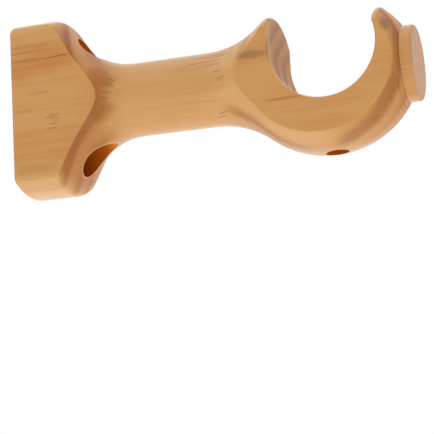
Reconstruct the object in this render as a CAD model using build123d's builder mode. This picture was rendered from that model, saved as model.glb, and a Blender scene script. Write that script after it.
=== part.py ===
from build123d import *
from math import acos, cos, degrees, radians, sin, tan
import os

# A bracket for a curtain pole, turned from one piece of wood and then cut flat on two sides.
# The wall face lies on x = 0, the turning axis is X and the arm points along +X. The pole lies
# along Y and drops into its seat from above, with +Z up. All sizes are in millimetres.

# Pole and its seat
pole_diameter = 28.0
seat_play = 1.0  # how much wider the seat is than the pole
hook_lip = 0.9  # how far the wall of the hook stands in over the widest point of the seat
pole_projection = 89.5  # wall to pole centre
pole_rise = 5.75  # pole centre above the turning axis

# Base, flare and neck
thickness = 24.5  # across the two flats
base_diameter = 50.0
base_depth = 13.4  # wall to the corner where the rim of the base meets the flare
shoulder_radius = 3.0  # rounding of that corner
flare_angle = 55.5  # between the flare and the turning axis
flare_radius = 20.4  # hollow curve from the flare into the neck
neck_diameter = 20.5

# Head and button
sweep_radius = 25.8  # hollow curve from the neck up to the head
seat_floor = 13.05  # wood under the seat, down to the underside of the head
head_wall = 11.4  # how much larger the arc of the head is than the seat
head_setback = 1.4  # pole centre to the widest point of the head, towards the wall
button_diameter = 20.4
button_length = 3.3
button_edge_radius = 0.9

# Sanded edges
rim_radius = 1.2
tip_radius = 1.1
edge_radius = 0.6

# Wall screws, one above and one below the arm
screw_height = 12.0  # screw centre to the turning axis, at the wall face
screw_lean = 10.0  # angle between screw and turning axis, so that drill and driver pass the head
screw_hole_diameter = 4.5
screw_well_diameter = 10.0
screw_seat_depth = 8.0  # wall face to the bottom of the straight well, along the screw
countersink_angle = 90.0

# Screw that holds the pole, from below
pole_screw_diameter = 3.2
pole_screw_well_diameter = 6.2
pole_screw_seat_depth = 6.0  # wood between the well and the seat

# Sizes that follow from those above
seat_radius = (pole_diameter + seat_play) / 2
mouth_width = 2 * seat_radius - hook_lip
horn_wall_x = pole_projection - seat_radius
base_radius = base_diameter / 2
neck_radius = neck_diameter / 2
button_radius = button_diameter / 2
head_radius = seat_floor + seat_radius - pole_rise
head_arc_radius = seat_radius + head_wall
head_arc_z = head_radius - head_arc_radius
head_x = pole_projection - head_setback
flare_foot_x = base_depth + (base_radius - neck_radius) / tan(radians(flare_angle))
sweep_reach = sweep_radius + head_arc_radius
sweep_angle = acos((neck_radius + sweep_radius - head_arc_z) / sweep_reach)
sweep_start_x = head_x - sweep_reach * sin(sweep_angle)
head_end_angle = acos((button_radius - head_arc_z) / head_arc_radius)
button_x = head_x + head_arc_radius * sin(head_end_angle)
length = button_x + button_length
screw_out = cos(radians(screw_lean))
screw_up = sin(radians(screw_lean))

with BuildPart() as bracket:
    # Half outline of the turned form, drawn below the X axis and spun about it
    with BuildSketch(-Plane.XZ) as outline:
        with BuildLine():
            base_side = FilletPolyline(
                (0, base_radius),
                (base_depth, base_radius),
                (flare_foot_x, neck_radius),
                (sweep_start_x, neck_radius),
                radius=(shoulder_radius, flare_radius),
            )
            sweep = JernArc(base_side @ 1, base_side % 1, sweep_radius, degrees(sweep_angle))
            head_turn = degrees(sweep_angle + head_end_angle)
            head = JernArc(sweep @ 1, sweep % 1, head_arc_radius, -head_turn)
            button = FilletPolyline(
                head @ 1,
                (length, button_radius),
                (length, 0),
                radius=button_edge_radius,
            )
            Polyline(button @ 1, (0, 0), base_side @ 0)
        make_face()
    revolve(axis=Axis.X)

    # Two flats, front and back
    with BuildSketch(Plane.YZ) as slab:
        Rectangle(thickness, 2 * base_diameter)
    extrude(amount=length, mode=Mode.INTERSECT)

    # Pole seat, a bore whose top is opened straight upwards between the horn and the hook
    with BuildSketch(Plane.XZ) as seat:
        with Locations((pole_projection, pole_rise)):
            Circle(seat_radius)
        with Locations((horn_wall_x, pole_rise)):
            Rectangle(mouth_width, base_diameter, align=(Align.MIN, Align.MIN))
    extrude(amount=thickness, both=True, mode=Mode.SUBTRACT)

    # Sanded tips of the horn and the hook, where the walls of the mouth come out of the head
    mouth_walls = bracket.faces().filter_by(Axis.X).sort_by(Axis.X)[1:-1]
    fillet(mouth_walls.edges().filter_by(GeomType.LINE, reverse=True), tip_radius)

    # Sanded rim of the wall face, above and below the flats
    wall_face = bracket.faces().filter_by(Axis.X).sort_by(Axis.X)[0]
    fillet(wall_face.edges().filter_by(GeomType.CIRCLE), rim_radius)

    # Sanded edges of the flats
    fillet(bracket.faces().filter_by(Axis.Y).edges(), edge_radius)

    # Wells for the wall screws, drilled into the flare, with countersunk seats for the heads
    upper_screw = Plane((0, 0, screw_height), z_dir=(screw_out, 0, screw_up))
    lower_screw = Plane((0, 0, -screw_height), z_dir=(screw_out, 0, -screw_up))
    with Locations(*[screw.offset(screw_seat_depth) for screw in (upper_screw, lower_screw)]):
        CounterSinkHole(
            screw_hole_diameter / 2,
            screw_well_diameter / 2,
            depth=sweep_start_x - screw_seat_depth,
            counter_sink_angle=countersink_angle,
        )

    # Sunk hole for the screw that holds the pole, up through the floor of the seat
    with Locations(Plane((pole_projection, 0, -head_radius), z_dir=(0, 0, -1))):
        CounterBoreHole(
            pole_screw_diameter / 2,
            pole_screw_well_diameter / 2,
            seat_floor - pole_screw_seat_depth,
            depth=seat_floor + seat_radius,
        )

bracket.part.label = "bracket"
os.makedirs("parts", exist_ok=True)
export_step(bracket.part, "parts/bracket.step")
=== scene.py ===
import bmesh
import bpy
import math
from mathutils import Matrix, Vector


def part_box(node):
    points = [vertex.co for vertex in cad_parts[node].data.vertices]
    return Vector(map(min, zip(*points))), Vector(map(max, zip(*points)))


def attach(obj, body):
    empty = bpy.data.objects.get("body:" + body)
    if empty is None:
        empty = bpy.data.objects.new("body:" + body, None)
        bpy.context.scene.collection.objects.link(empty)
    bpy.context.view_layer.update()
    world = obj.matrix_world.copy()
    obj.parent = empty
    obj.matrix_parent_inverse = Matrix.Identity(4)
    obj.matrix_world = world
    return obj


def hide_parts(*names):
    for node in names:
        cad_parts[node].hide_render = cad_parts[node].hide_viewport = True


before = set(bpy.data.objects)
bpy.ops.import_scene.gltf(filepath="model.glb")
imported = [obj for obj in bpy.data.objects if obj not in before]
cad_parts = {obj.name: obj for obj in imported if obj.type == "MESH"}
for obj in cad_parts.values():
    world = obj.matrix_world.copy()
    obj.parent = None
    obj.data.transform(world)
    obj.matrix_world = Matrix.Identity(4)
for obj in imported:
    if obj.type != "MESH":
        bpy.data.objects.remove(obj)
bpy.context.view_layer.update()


class Value:  # one node socket, so that shader maths reads as plain expressions
    def __init__(self, graph, socket):
        self.graph = graph
        self.socket = socket

    def __add__(self, other):
        return self.graph.math("ADD", self, other)

    def __radd__(self, other):
        return self.graph.math("ADD", other, self)

    def __sub__(self, other):
        return self.graph.math("SUBTRACT", self, other)

    def __rsub__(self, other):
        return self.graph.math("SUBTRACT", other, self)

    def __mul__(self, other):
        return self.graph.math("MULTIPLY", self, other)

    def __rmul__(self, other):
        return self.graph.math("MULTIPLY", other, self)

    def __truediv__(self, other):
        return self.graph.math("DIVIDE", self, other)

    def __rtruediv__(self, other):
        return self.graph.math("DIVIDE", other, self)

    def __abs__(self):
        return self.graph.math("ABSOLUTE", self)


class Graph:  # the node tree of a material or of the world
    def __init__(self, owner):
        owner.use_nodes = True
        self.tree = owner.node_tree
        self.tree.nodes.clear()

    def node(self, kind, settings, inputs, output=0):
        made = self.tree.nodes.new(kind)
        for name, value in settings.items():
            setattr(made, name, value)
        for key, value in inputs.items():
            if isinstance(value, Value):
                self.tree.links.new(value.socket, made.inputs[key])
            else:
                made.inputs[key].default_value = value
        return Value(self, made.outputs[output]) if len(made.outputs) else None

    def math(self, operation, a, b=0.0):
        return self.node("ShaderNodeMath", {"operation": operation}, {0: a, 1: b})

    def vector(self, operation, a, b=(0, 0, 0), output=0):  # output 1 is a plain number
        return self.node("ShaderNodeVectorMath", {"operation": operation}, {0: a, 1: b}, output)

    def axes(self, place):
        first = self.node("ShaderNodeSeparateXYZ", {}, {"Vector": place})
        return [Value(self, out) for out in first.socket.node.outputs]

    def mix(self, share, a, b):  # a Mix node has its colours on inputs 6 and 7 and on output 2
        return self.node("ShaderNodeMix", {"data_type": "RGBA"}, {0: share, 6: a, 7: b}, 2)

    def larger(self, a, b):
        return self.math("MAXIMUM", a, b)

    def length(self, a, b):
        return self.math("SQRT", a * a + b * b)

    def rise(self, value, low, high):  # soft step from 0 at low to 1 at high
        inputs = {"Value": value, "From Min": low, "From Max": high}
        return self.node("ShaderNodeMapRange", {"interpolation_type": "SMOOTHSTEP"}, inputs)

    def fall(self, value, low, high):  # soft step from 1 at low to 0 at high
        return 1 - self.rise(value, low, high)

    def between(self, value, start, full, fade, stop):  # 1 from full to fade, 0 outside start and stop
        return self.rise(value, start, full) * self.fall(value, fade, stop)

    def noise(self, place, frequency, detail, roughness):  # centred on 0
        inputs = {"Vector": self.vector("MULTIPLY", place, frequency), "Scale": 1.0}
        inputs.update({"Detail": detail, "Roughness": roughness})
        return self.node("ShaderNodeTexNoise", {}, inputs) - 0.5

    def noiseAlong(self, value):  # one-dimensional, centred on 0
        inputs = {"W": value, "Scale": 1.0}
        return self.node("ShaderNodeTexNoise", {"noise_dimensions": "1D"}, inputs) - 0.5

    def whiteNoise(self, number):  # from 0 to 1, fixed for each number
        return self.node("ShaderNodeTexWhiteNoise", {"noise_dimensions": "1D"}, {"W": number})

    def patch(self, place, centre, radii):  # soft round patch, 1 in the middle
        near = self.vector("SUBTRACT", place, centre)
        near = self.vector("MULTIPLY", near, [1 / radius for radius in radii])
        away = self.vector("LENGTH", near, output=1)
        return self.fall(away, 0.35, 1.0)


def colour(red, green, blue):  # sRGB numbers from 0 to 255, as linear light
    def linear(level):
        level = level / 255
        return level / 12.92 if level <= 0.04045 else ((level + 0.055) / 1.055) ** 2.4
    return (linear(red), linear(green), linear(blue), 1.0)


# Places are in millimetres. A name that ends in X, Y or Z is a soft step along that axis: two numbers
# are its ends, and four numbers are a step up and a step down.
pine = {
    # tones along the grain, across the grain and on sawn ends
    "pale": colour(203, 149, 87),
    "ripe": colour(189, 117, 46),
    "line": colour(122, 74, 26),
    "endPale": colour(194, 136, 78),
    "endRipe": colour(140, 71, 8),
    "sawn": colour(186, 144, 108),
    # chalk: a painted sheen, a pale greyish tone on the button's face that stands in for white
    # reflection
    "buttonSheen": colour(198, 168, 150),
    # tones of painted shade, painted highlights and marks
    # hollow: painted shade between flare and neck, partly end grain soaking lacquer
    "hollow": colour(160, 88, 16),
    # flare: painted shade on the flare, partly end grain soaking lacquer
    "flare": colour(152, 84, 30),
    "paintedHighlight": colour(230, 190, 130),
    # worn: a painted highlight on the head's turned side, the neck and the base's rim
    "trail": colour(152, 86, 32),
    "blush": colour(160, 80, 24),
    "stain": colour(120, 82, 46),
    # tones of the drilled wells: a painted highlight on the rim, pooled lacquer and painted shade
    # inside
    # raw: a painted highlight round the wells' rims
    "wellRimHighlight": colour(228, 186, 130),
    # well: pooled lacquer and painted shade; wellLit and mouth: painted light
    "well": colour(176, 88, 4),
    "wellLit": colour(206, 118, 14),
    "mouth": colour(226, 150, 62),
    # noises: frequency for each millimetre along x, y and z, then detail and roughness
    "drift": ((0.012, 0.06, 0.06), 2.0, 0.5),
    "waver": ((0.02, 0.3, 0.3), 2.0, 0.5),
    "fibre": ((0.09, 3.2, 3.2), 3.0, 0.6),
    "streak": ((0.012, 0.7, 0.7), 3.0, 0.5),
    "cloud": ((0.05, 0.09, 0.09), 2.0, 0.5),
    "pores": ((0.5, 1.9, 1.9), 3.0, 0.6),
    "breaks": ((0.9, 0.1, 0.2), 2.0, 0.5),
    # how squarely a face looks sideways or along the arm
    "flatFacing": (0.9, 0.98),
    "cutFacing": (0.12, 0.8),
    "sawnFacing": (0.85, 0.98),
    "rimFacing": (0.15, 0.6),
    # parts of the bracket
    "wallRimX": (1.2, 2.4),
    "flareX": (13, 16, 24, 30),
    "neckX": (24, 30, 54, 66),
    "hornX": (64, 72, 80, 86),
    "hornZ": (-6, 2),
    "headX": (75, 78),
    "buttonX": (109, 111),
    "buttonRimX": (110.6, 111.8),
    "lowerZ": (-4, 6),
    "nearFlat": -12.25,  # y of the flat in view
    # growth rings
    "pith": (41.56, -10.11),  # y and z of the heart of the tree at the wall, behind the bracket
    "pithLean": (-0.0467, 0.0704),  # its drift in y and z for each millimetre along the arm
    "firstRing": 46.28,
    "ringWidth": 5.38,
    "ringFade": (0.0, 0.6),  # shares of the ring's width
    "ringGrow": (0.74, 1.0),
    "ringDrift": 1.6,
    "ringWaver": 0.8,
    "fineRings": 1.3,  # frequency of the fine lines among the rings
    "bendFrom": 5.3,  # in the horn the rings bend over, from this height upwards
    "bendUp": 0.45,
    "bendIn": 0.38,  # and with the depth behind the near flat
    "wideRingsX": (30, 40),  # up to here, in the flare, they lie wider apart
    "widening": 0.22,
    # along the grain
    "neckCalm": 0.85,
    "headCalm": 0.8,
    "alongRings": 0.5,
    "alongStreak": 0.85,
    "alongCloud": 1.2,
    "alongFibre": 0.8,
    "streakCore": (0.4, 0.3),  # full strength up to these shares of the half length and half width
    "streakWaver": 0.3,
    "streaks": [  # on the flats: middle x, height, half length, half width, slope, strength and tone
        (14.4, 12.3, 5.0, 0.22, 0.07, 0.75, "line"),
        (6.5, 16.3, 9.0, 0.9, 0.02, 0.22, "blush"),
        (6.0, 14.6, 7.5, 0.35, 0.02, 0.3, "line"),
        (5.5, 12.2, 6.0, 0.6, 0.0, 0.35, "blush"),
        (9.0, 2.6, 4.0, 0.6, 0.03, 0.22, "blush"),
        (3.5, -2.2, 4.0, 0.7, 0.0, 0.22, "blush"),
        (7.0, -18.8, 9.0, 2.2, 0.0, 0.2, "blush"),
        (79.0, -8.0, 7.0, 0.6, 0.03, 0.5, "blush"),
        (86.0, -11.5, 12.0, 0.9, 0.05, 0.1, "blush"),
    ],
    # across the grain
    "underHeadX": (56, 62),
    "underHeadZ": (-6, 0),
    "underHeadCalm": 0.65,
    "flareCalm": 0.4,
    "acrossRings": 0.85,
    "acrossHorn": 0.5,
    "acrossFine": 0.15,
    "acrossCloud": 0.6,
    "acrossPores": 0.35,
    "sawnShare": 0.65,
    "buttonSheenShare": 0.3,
    # painted shade in the hollow and on the flare, and painted highlights
    "hollowPatch": ((26.6, -11.5, 0.5), (6.4, 5.6, 13.0)),  # centre and reach of the painted shade, between flare and neck
    "hollowFibre": 0.5,
    "hollowStreak": 0.4,
    "hollowEdge": (0.05, 1.0),
    "hollowShare": 0.6,
    "flareLowY": (-12.0, -8.6),
    "flareLowShadeShare": (0.25, 0.3),  # painted shade on the lower flare: all over, and more at the flat
    "flareHighY": (-12.0, -9.0),
    "flareHighShadeShare": 0.2,
    "besideX": (52, 66, 86, 96),  # painted highlight on the turned side of the head
    "besideY": (-11, -6),
    "besideHighlightShare": 0.3,
    # painted highlights on the neck and on the base's top and bottom rim
    "neckHighlightX": (30, 34, 60, 66),
    "neckHighlightShare": 0.08,
    "baseRimHighlightX": (13, 16),
    "baseRimHighlightZ": (19, 22.5),
    "baseRimHighlightShare": 0.3,
    "undersideZ": (-8, -3),
    "trailWaver": 2,
    "trailSides": (0.3, 1.7),  # where a trail fades sideways, in half widths
    "trailEnds": (2, 3),  # how far it fades past its ends and within them
    "trails": [  # brown bands underneath: start x, end x, y at the start, slope, half width, strength
        (62.0, 84.0, -7.7, 0.14, 1.3, 0.4),
        (91.0, 112.0, -6.4, -0.27, 2.4, 0.6),
    ],
    # stains and dashes
    "stains": [  # centre, reach and strength of the greyish streaks
        ((70.4, -12.2, 5.0), (6.8, 1.6, 1.7), 0.48),
        ((106.7, -11.0, 9.0), (1.9, 3.4, 3.4), 0.55),
    ],
    "frontY": (-5, -3),
    "dashWaver": 0.4,
    "dashWidth": (0.05, 0.24),  # full and fading half width, in shares of the pitch
    "dashRight": (-0.2, 0.3),  # softness of the right end
    "dashTaper": 0.8,  # length of the fading left end
    "dashEdge": 0.2,  # softness of a group's top and bottom
    "dashChance": (-0.1, 0.6),  # longer dashes are darker
    "dashSeeds": (31, 17),  # for length and place
    "dashes": [  # groups: right end, skew, lowest, highest, short, long, slope, pitch and strength
        (15.0, 0.0, -8.3, -3.8, 1.2, 3.8, 0.05, 0.62, 0.75),
        (29.6, 0.5, -4.4, 4.4, 1.4, 2.8, 0.22, 0.66, 0.9),
        (62.6, 0.0, -0.6, 3.6, 1.6, 2.8, 0.03, 0.66, 0.8),
        (63.2, 0.0, 3.6, 8.2, 3.5, 11.0, 0.03, 0.62, 0.8),
        (57.0, 0.0, -10.0, -8.0, 1.6, 3.2, 0.06, 0.66, 0.6),
        (62.0, 0.0, -9.6, -7.8, 1.6, 3.8, 0.06, 0.66, 0.6),
    ],
    # turning lines beside the button
    "turningX": (105.5, 108.9, 109.7, 110.0),
    "turningLines": 2.6,  # for each millimetre
    "turningWidth": (0.04, 0.16),
    "turningBreaks": (-0.12, 0.14),
    "turningShare": 0.5,
    # drilled wells
    "wallWell": (12.0, 10.0, 5.0),  # height over the axis at the wall, lean in degrees, and radius
    "wallWellX": (0.2, 0.8, 36, 40),
    "poleWell": (89.5, 3.1),  # distance from the wall and radius
    "poleWellZ": (-11, -10),
    "wellEdge": (0.02, 0.08),  # past the radius
    "wellRim": (0.03, 0.1, 0.2, 0.45),  # painted highlight ring round the mouth, past the radius
    "wellRimHighlightShare": 0.6,
    "mouthX": (21, 28),
    "mouthShare": 0.8,
    "litZ": (0, 6),  # painted light: the upper wall well is lighter
    "litX": (60, 70),
    # lacquer
    "roughness": 0.40,
    "fibreRoughness": 0.15,
    "sawnRoughness": 0.25,
    "wellRoughness": 0.4,
    "specular": 0.15,
    "coat": 0.5,
    "coatRoughness": 0.18,
    "coatLoss": 0.92,  # where the wood is cut across
    "bumpStrength": 0.12,
    "bumpDistance": 0.0002,
    "ringBump": 0.4,
}


class PineGraph(Graph):  # a material's tree, with what all sections of the wood read
    def __init__(self, material):
        super().__init__(material)
        metres = self.node("ShaderNodeTexCoord", {}, {}, "Object")
        self.mm = self.vector("MULTIPLY", metres, (1000, 1000, 1000))
        self.x, self.y, self.z = self.axes(self.mm)
        facing = self.axes(self.node("ShaderNodeTexCoord", {}, {}, "Normal"))
        outward = abs(facing[0])
        self.flat = self.rise(abs(facing[1]), *pine["flatFacing"])
        self.turned = 1 - self.flat
        self.cut = self.rise(outward, *pine["cutFacing"])
        rims = self.larger(self.fall(self.x, *pine["wallRimX"]), self.rise(self.x, *pine["buttonRimX"]))
        rims = self.rise(outward, *pine["rimFacing"]) * rims
        self.sawn = self.larger(self.rise(outward, *pine["sawnFacing"]), rims)
        self.flare = self.turned * self.between(self.x, *pine["flareX"])
        self.horn = self.between(self.x, *pine["hornX"]) * self.rise(self.z, *pine["hornZ"])
        self.lower = self.fall(self.z, *pine["lowerZ"])
        self.waver = self.noise(self.mm, *pine["waver"])
        self.fibre = self.noise(self.mm, *pine["fibre"])
        self.streak = self.noise(self.mm, *pine["streak"])
        self.cloud = self.noise(self.mm, *pine["cloud"])


def growthRings(g):  # round the heart of the tree, dark on their inner side and fading outwards
    pithY, pithZ = pine["pith"]
    leanY, leanZ = pine["pithLean"]
    acrossY = g.y - pithY - g.x * leanY
    acrossZ = g.z - pithZ - g.x * leanZ
    behind = g.y - pine["nearFlat"]
    bend = g.larger(g.z - pine["bendFrom"], 0.0) * pine["bendUp"] + behind * pine["bendIn"]
    drift = g.noise(g.mm, *pine["drift"])
    reach = g.length(acrossY, acrossZ) + drift * pine["ringDrift"] + g.waver * pine["ringWaver"]
    reach = reach + g.horn * bend
    reach = reach + g.larger(behind, 0.0) * g.fall(g.x, *pine["wideRingsX"]) * pine["widening"]
    age = g.math("FRACT", (reach - pine["firstRing"]) / pine["ringWidth"])
    ripe = g.larger(g.fall(age, *pine["ringFade"]), g.rise(age, *pine["ringGrow"]))
    return ripe, g.noiseAlong(reach * pine["fineRings"])


def alongGrain(g, ripe):  # fibres and streaks along the arm; neck and head show little of the rings
    show = 1 - g.between(g.x, *pine["neckX"]) * pine["neckCalm"]
    show = show - g.rise(g.x, *pine["headX"]) * pine["headCalm"]
    share = ripe * show * pine["alongRings"] + g.streak * pine["alongStreak"]
    share = share + g.cloud * pine["alongCloud"] + g.fibre * pine["alongFibre"]
    tone = g.mix(share, pine["pale"], pine["ripe"])
    longCore, wideCore = pine["streakCore"]
    for middle, height, halfLength, halfWidth, slope, strength, name in pine["streaks"]:
        lengthwise = g.fall(abs(g.x - middle + g.fibre), halfLength * longCore, halfLength)
        off = g.z - height - (g.x - middle) * slope + g.waver * pine["streakWaver"]
        crosswise = g.fall(abs(off), halfWidth * wideCore, halfWidth)
        tone = g.mix(lengthwise * crosswise * g.flat * strength, tone, pine[name])
    return tone


def acrossGrain(g, ripe, fine):  # turned or sawn, wood drinks more lacquer and its rings show darker
    underHead = g.rise(g.x, *pine["underHeadX"]) * g.fall(g.z, *pine["underHeadZ"])
    calm = 1 - underHead * pine["underHeadCalm"] - g.flare * g.lower * pine["flareCalm"]
    share = ripe * calm * (pine["acrossRings"] + g.horn * pine["acrossHorn"])
    share = share + fine * pine["acrossFine"] + g.cloud * pine["acrossCloud"]
    share = share + g.noise(g.mm, *pine["pores"]) * pine["acrossPores"]
    tone = g.mix(share, pine["endPale"], pine["endRipe"])
    tone = g.mix(g.sawn * pine["sawnShare"], tone, pine["sawn"])
    # painted sheen on the button's sawn face
    buttonSheenMask = g.sawn * g.rise(g.x, *pine["buttonX"])
    return g.mix(buttonSheenMask * pine["buttonSheenShare"], tone, pine["buttonSheen"])


def hollowsAndWear(g, tone):  # painted shade on flare and hollow, painted highlights on neck, head and rim, brown bands underneath
    centre, radii = pine["hollowPatch"]
    ragged = g.patch(g.mm, centre, radii)
    ragged = ragged + g.fibre * pine["hollowFibre"] + g.streak * pine["hollowStreak"]
    # the hollow between flare and neck is painted darker: partly end grain soaking lacquer, partly
    # painted shade
    hollow = g.rise(ragged, *pine["hollowEdge"]) * g.turned
    tone = g.mix(hollow * pine["hollowShare"], tone, pine["hollow"])
    # the flare is painted darker, more below and near the flat: partly end grain soaking lacquer,
    # partly painted shade
    allOver, atFlat = pine["flareLowShadeShare"]
    flareLowShade = g.flare * g.lower * (allOver + g.fall(g.y, *pine["flareLowY"]) * atFlat)
    tone = g.mix(flareLowShade, tone, pine["flare"])
    flareHighShade = g.flare * (1 - g.lower) * g.fall(g.y, *pine["flareHighY"])
    tone = g.mix(flareHighShade * pine["flareHighShadeShare"], tone, pine["flare"])
    # painted highlights: the turned side of the head and the neck are painted paler
    beside = g.fall(g.y, *pine["besideY"]) * g.turned * g.between(g.x, *pine["besideX"])
    tone = g.mix(beside * pine["besideHighlightShare"], tone, pine["paintedHighlight"])
    tone = g.mix(g.between(g.x, *pine["neckHighlightX"]) * pine["neckHighlightShare"], tone, pine["paintedHighlight"])
    underside = g.turned * g.fall(g.z, *pine["undersideZ"])
    core, side = pine["trailSides"]
    past, within = pine["trailEnds"]
    for start, stop, startY, slope, halfWidth, strength in pine["trails"]:
        off = g.y - startY - (g.x - start) * slope + g.waver * pine["trailWaver"]
        band = g.fall(abs(off), halfWidth * core, halfWidth * side)
        band = band * g.between(g.x, start - past, start + within, stop - within, stop + past)
        tone = g.mix(band * underside * strength, tone, pine["trail"])
    # painted highlight along the base's top and bottom rim
    rim = g.rise(abs(g.z), *pine["baseRimHighlightZ"]) * g.fall(g.x, *pine["baseRimHighlightX"])
    return g.mix(rim * pine["baseRimHighlightShare"], tone, pine["paintedHighlight"])


def stainsAndDashes(g, tone):  # greyish streaks, and groups of short dark dashes, one in each row
    for centre, radii, strength in pine["stains"]:
        tone = g.mix(g.patch(g.mm, centre, radii) * strength, tone, pine["stain"])
    front = g.fall(g.y, *pine["frontY"])
    edge = pine["dashEdge"]
    longSeed, slideSeed = pine["dashSeeds"]
    for group, settings in enumerate(pine["dashes"]):
        right, skew, lowest, highest, short, long, slope, pitch, strength = settings
        row = (g.z - (g.x - right) * slope + g.waver * pine["dashWaver"]) / pitch
        number = g.math("FLOOR", row)
        chance = g.whiteNoise(number + group * longSeed)
        slide = g.whiteNoise(number - group * slideSeed)
        thread = g.fall(abs(g.math("FRACT", row) - 0.5), *pine["dashWidth"])
        # how far left of the dash's right end
        before = right - slide * short + (g.z - (lowest + highest) / 2) * skew - g.x
        tail = g.fall(before - chance * (long - short), short - pine["dashTaper"], short)
        stroke = g.rise(before, *pine["dashRight"]) * tail
        within = g.between(g.z, lowest - edge, lowest + edge, highest - edge, highest + edge) * front
        share = thread * stroke * within * g.rise(chance, *pine["dashChance"]) * strength
        tone = g.mix(share, tone, pine["line"])
    return tone


def turningLines(g, tone):  # fine broken lines where the head meets the button, also in the relief
    lathe = g.noiseAlong(g.x * pine["turningLines"])
    beside = g.between(g.x, *pine["turningX"]) * g.turned
    broken = g.rise(g.noise(g.mm, *pine["breaks"]), *pine["turningBreaks"])
    share = g.rise(lathe, *pine["turningWidth"]) * beside * broken * pine["turningShare"]
    return g.mix(share, tone, pine["line"]), lathe * beside


def drilledWells(g, tone):  # painted highlight on the rim, pooled lacquer and painted shade inside, painted light on the upper well and towards the mouth
    height, lean, wallRadius = pine["wallWell"]
    distance, poleRadius = pine["poleWell"]
    lean = math.radians(lean)
    nearWall = g.between(g.x, *pine["wallWellX"])
    upOff = (abs(g.z) - height) * math.cos(lean) - g.x * math.sin(lean)
    wallOff = g.length(g.y, upOff) - wallRadius
    poleOff = g.length(g.x - distance, g.y) - poleRadius
    rim = g.between(wallOff, *pine["wellRim"]) * nearWall
    inWall = g.fall(wallOff, *pine["wellEdge"]) * nearWall
    inHead = g.fall(poleOff, *pine["wellEdge"]) * g.fall(g.z, *pine["poleWellZ"])
    inside = g.larger(inWall, inHead)
    # painted highlight round the well's rim
    tone = g.mix(rim * pine["wellRimHighlightShare"], tone, pine["wellRimHighlight"])
    # inside: pooled lacquer and painted shade, painted lighter on the upper well and towards the mouth
    lit = g.rise(g.z, *pine["litZ"]) * g.fall(g.x, *pine["litX"])
    pooledAndShaded = g.mix(lit, pine["well"], pine["wellLit"])
    mouth = g.rise(g.x, *pine["mouthX"]) * nearWall
    pooledAndShaded = g.mix(mouth * pine["mouthShare"], pooledAndShaded, pine["mouth"])
    return g.mix(inside, tone, pooledAndShaded), inside


def pineWood():
    material = bpy.data.materials.new("lacqueredPine")
    g = PineGraph(material)
    ripe, fine = growthRings(g)
    tone = g.mix(g.cut, alongGrain(g, ripe), acrossGrain(g, ripe, fine))
    tone = hollowsAndWear(g, tone)
    tone = stainsAndDashes(g, tone)
    tone, turning = turningLines(g, tone)
    tone, inside = drilledWells(g, tone)
    rough = pine["roughness"] + g.fibre * pine["fibreRoughness"] + g.sawn * pine["sawnRoughness"]
    bumpInputs = {
        "Strength": pine["bumpStrength"],
        "Distance": pine["bumpDistance"],
        "Height": g.fibre + ripe * pine["ringBump"] + turning,
    }
    shaderInputs = {
        "Base Color": tone,
        "Roughness": rough + inside * pine["wellRoughness"],
        "Normal": g.node("ShaderNodeBump", {}, bumpInputs),
        "Specular IOR Level": pine["specular"],
        "Coat Weight": pine["coat"] * (1 - g.cut * pine["coatLoss"]) * (1 - inside),
        "Coat Roughness": pine["coatRoughness"],
    }
    shader = g.node("ShaderNodeBsdfPrincipled", {}, shaderInputs)
    g.node("ShaderNodeOutputMaterial", {}, {"Surface": shader})
    return material


body = {  # lengths in metres, as in the frame
    "mergeDistance": 0.000001,
    "sharpAngle": 35.0,
    "flatRound": 0.0017,  # the base is sanded rounder than the rest, where flats and turned rim meet
    "wallRound": 0.0013,  # and along the wall face
    "roundFull": 0.008,  # full rounding up to here along the arm
    "roundEnd": 0.012,  # and none from here on
    "leastShare": 0.05,  # points with less of the rounding stay
    "cutStep": 0.0004,  # between the rows of points that the rounding needs
    "cutSnap": 1e-7,  # points as near as this to a cut lie on it
    "rowsIn": 5,  # in from the wall face and from the flats
    "rowsDown": 12,  # in from the top and the bottom of the base
    "moves": 4,  # at most, for each point
}


def cutAcross(shape, axis, place):  # adds a row of points where a plane crosses the base
    crossed = []
    for face in shape.faces:
        along = [vertex.co[axis] for vertex in face.verts]
        atBase = min(vertex.co.x for vertex in face.verts) < body["roundEnd"]
        if atBase and min(along) < place < max(along):
            crossed.append(face)
    geometry = set(crossed)
    for face in crossed:
        geometry.update(face.verts)
        geometry.update(face.edges)
    middle, normal = Vector(), Vector()
    middle[axis], normal[axis] = place, 1.0
    cut = {"dist": body["cutSnap"], "plane_co": middle, "plane_no": normal}
    bmesh.ops.bisect_plane(shape, geom=list(geometry), **cut)


def cutRows(shape, half, radius):
    alongArm, sideways, upright = range(3)
    step = body["cutStep"]
    for row in range(1, body["rowsIn"] + 1):
        cutAcross(shape, alongArm, row * step)
        for side in (-1, 1):
            cutAcross(shape, sideways, side * (half - row * step))
    for row in range(1, body["rowsDown"] + 1):
        for side in (-1, 1):
            cutAcross(shape, upright, side * (radius - row * step))


def ontoRounding(place, half, radius, flatRound):  # brings in a point that stands past the rounding
    for _ in range(body["moves"]):
        turned = Vector((0.0, place.y, place.z))
        sides = [  # height over the flat, the turned rim and the wall face, way out, and rounding
            (abs(place.y) - half, Vector((0.0, math.copysign(1.0, place.y), 0.0)), flatRound),
            (turned.length - radius, turned.normalized(), flatRound),
            (-place.x, Vector((-1.0, 0.0, 0.0)), body["wallRound"]),
        ]
        past = [max(height / reach + 1, 0.0) for height, wayOut, reach in sides]
        total = math.hypot(*past)
        if total <= 1:
            break
        slope = Vector()
        for amount, (height, wayOut, reach) in zip(past, sides):
            slope += wayOut * (amount / reach / total)
        place = place - slope * ((total - 1) / slope.length_squared)
    return place


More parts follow.
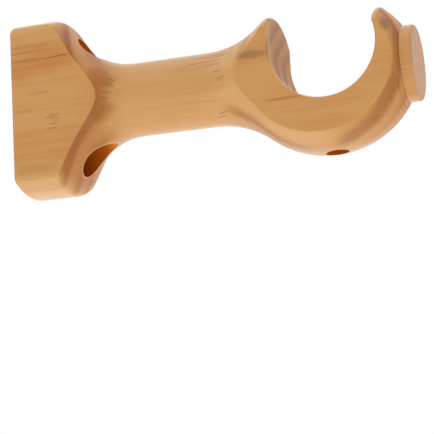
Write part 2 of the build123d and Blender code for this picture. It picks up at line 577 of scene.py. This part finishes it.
def roundBase(shape):
    half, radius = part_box("bracket")[1][1:3]
    cutRows(shape, half, radius)
    fade = body["roundEnd"] - body["roundFull"]
    for vertex in shape.verts:
        share = min(1.0, (body["roundEnd"] - vertex.co.x) / fade)
        if share >= body["leastShare"]:
            vertex.co = ontoRounding(vertex.co.copy(), half, radius, body["flatRound"] * share)
    bmesh.ops.triangulate(shape, faces=[face for face in shape.faces if len(face.verts) > 3])


def sandedBody():
    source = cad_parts["bracket"].data
    shape = bmesh.new()
    for vertex in source.vertices:
        shape.verts.new(vertex.co)
    shape.verts.ensure_lookup_table()
    for face in source.polygons:
        shape.faces.new([shape.verts[i] for i in face.vertices])
    bmesh.ops.remove_doubles(shape, verts=shape.verts, dist=body["mergeDistance"])
    roundBase(shape)
    for face in shape.faces:
        face.smooth = True
    for edge in shape.edges:
        edge.smooth = edge.calc_face_angle(0.0) < math.radians(body["sharpAngle"])
    mesh = bpy.data.meshes.new("woodenBracket")
    shape.to_mesh(mesh)
    shape.free()
    piece = bpy.data.objects.new("woodenBracket", mesh)
    bpy.context.scene.collection.objects.link(piece)
    weighted = piece.modifiers.new("evenNormals", "WEIGHTED_NORMAL")
    weighted.keep_sharp = True
    depsgraph = bpy.context.evaluated_depsgraph_get()
    piece.data = bpy.data.meshes.new_from_object(piece.evaluated_get(depsgraph))
    piece.modifiers.clear()
    return piece


bracket = sandedBody()
bracket.data.materials.clear()
bracket.data.materials.append(pineWood())
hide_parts("bracket")
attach(bracket, "root")
print("bracket made,", len(bracket.data.polygons), "faces")

view = {
    "aim": (0.054771, 0.0, -0.035420),
    "azimuth": 17.657,
    "elevation": -9.507,
    "roll": -3.098,
    "distance": 0.402939,
    "lens": 122.965,
    "sensor": 36.0,
    "nearest": 0.01,
}


def photoCamera():
    azimuth = math.radians(view["azimuth"])
    elevation = math.radians(view["elevation"])
    roll = math.radians(view["roll"])
    level = math.cos(elevation)
    back = Vector((math.sin(azimuth) * level, -math.cos(azimuth) * level, math.sin(elevation)))
    right = Vector((math.cos(azimuth), math.sin(azimuth), 0.0))
    turn = Matrix((right, back.cross(right), back)).transposed() @ Matrix.Rotation(roll, 3, "Z")
    lens = bpy.data.cameras.new("photoCamera")
    lens.lens = view["lens"]
    lens.sensor_width = view["sensor"]
    lens.clip_start = view["nearest"]
    camera = bpy.data.objects.new("photoCamera", lens)
    place = Vector(view["aim"]) + back * view["distance"]
    camera.matrix_world = Matrix.Translation(place) @ turn.to_4x4()
    bpy.context.scene.collection.objects.link(camera)
    bpy.context.scene.camera = camera


photoCamera()
print("camera set")

studio = {
    "floorDrop": 0.30,
    "floorSize": 4.0,
    "floorTone": colour(246, 245, 243),
    "floorRoughness": 0.7,
    "floorGlow": 0.2,
    "bright": 1.1,  # white walls all round
    "dim": 0.68,  # the open side in front of the bracket
    "front": (0.29, -0.94, -0.17),
    "dimming": (0.0, 0.9),  # from square to the front to nearly straight at it
    "topPlace": (-0.3, -0.3, 0.9),
    "topAim": (0.05, 0, 0),
    "topSize": 0.9,
    "topPower": 0.6,
}


def studioFloor():
    half = studio["floorSize"] / 2
    corners = [(-half, -half), (half, -half), (half, half), (-half, half)]
    mesh = bpy.data.meshes.new("paleFloor")
    mesh.from_pydata([(x, y, -studio["floorDrop"]) for x, y in corners], [], [(0, 1, 2, 3)])
    floor = bpy.data.objects.new("paleFloor", mesh)
    bpy.context.scene.collection.objects.link(floor)
    material = bpy.data.materials.new("paleFloor")
    g = Graph(material)
    inputs = {
        "Base Color": studio["floorTone"],
        "Roughness": studio["floorRoughness"],
        "Emission Color": studio["floorTone"],
        "Emission Strength": studio["floorGlow"],
    }
    shader = g.node("ShaderNodeBsdfPrincipled", {}, inputs)
    g.node("ShaderNodeOutputMaterial", {}, {"Surface": shader})
    mesh.materials.append(material)


def topBox():
    lamp = bpy.data.lights.new("topBox", "AREA")
    lamp.shape = "RECTANGLE"
    lamp.size = studio["topSize"]
    lamp.size_y = studio["topSize"]
    lamp.energy = studio["topPower"]
    light = bpy.data.objects.new("topBox", lamp)
    light.location = studio["topPlace"]
    towards = Vector(studio["topAim"]) - Vector(studio["topPlace"])
    light.rotation_euler = towards.to_track_quat("-Z", "Y").to_euler()
    bpy.context.scene.collection.objects.link(light)


def whiteWalls():
    world = bpy.data.worlds.new("whiteStudio")
    g = Graph(world)
    towards = g.node("ShaderNodeTexCoord", {}, {}, "Generated")
    forward = g.vector("DOT_PRODUCT", towards, studio["front"], 1)
    dimmer = (studio["dim"] - studio["bright"]) * g.rise(forward, *studio["dimming"])
    level = studio["bright"] + dimmer
    seen = g.node("ShaderNodeLightPath", {}, {}, "Is Camera Ray")
    strength = g.larger(level * (1 - seen), seen)  # the backdrop itself stays plain white
    walls = g.node("ShaderNodeBackground", {}, {"Color": (1, 1, 1, 1), "Strength": strength})
    g.node("ShaderNodeOutputWorld", {}, {"Surface": walls})
    bpy.context.scene.world = world


studioFloor()
topBox()
whiteWalls()
bpy.context.scene.view_settings.view_transform = "Standard"
print("studio set")
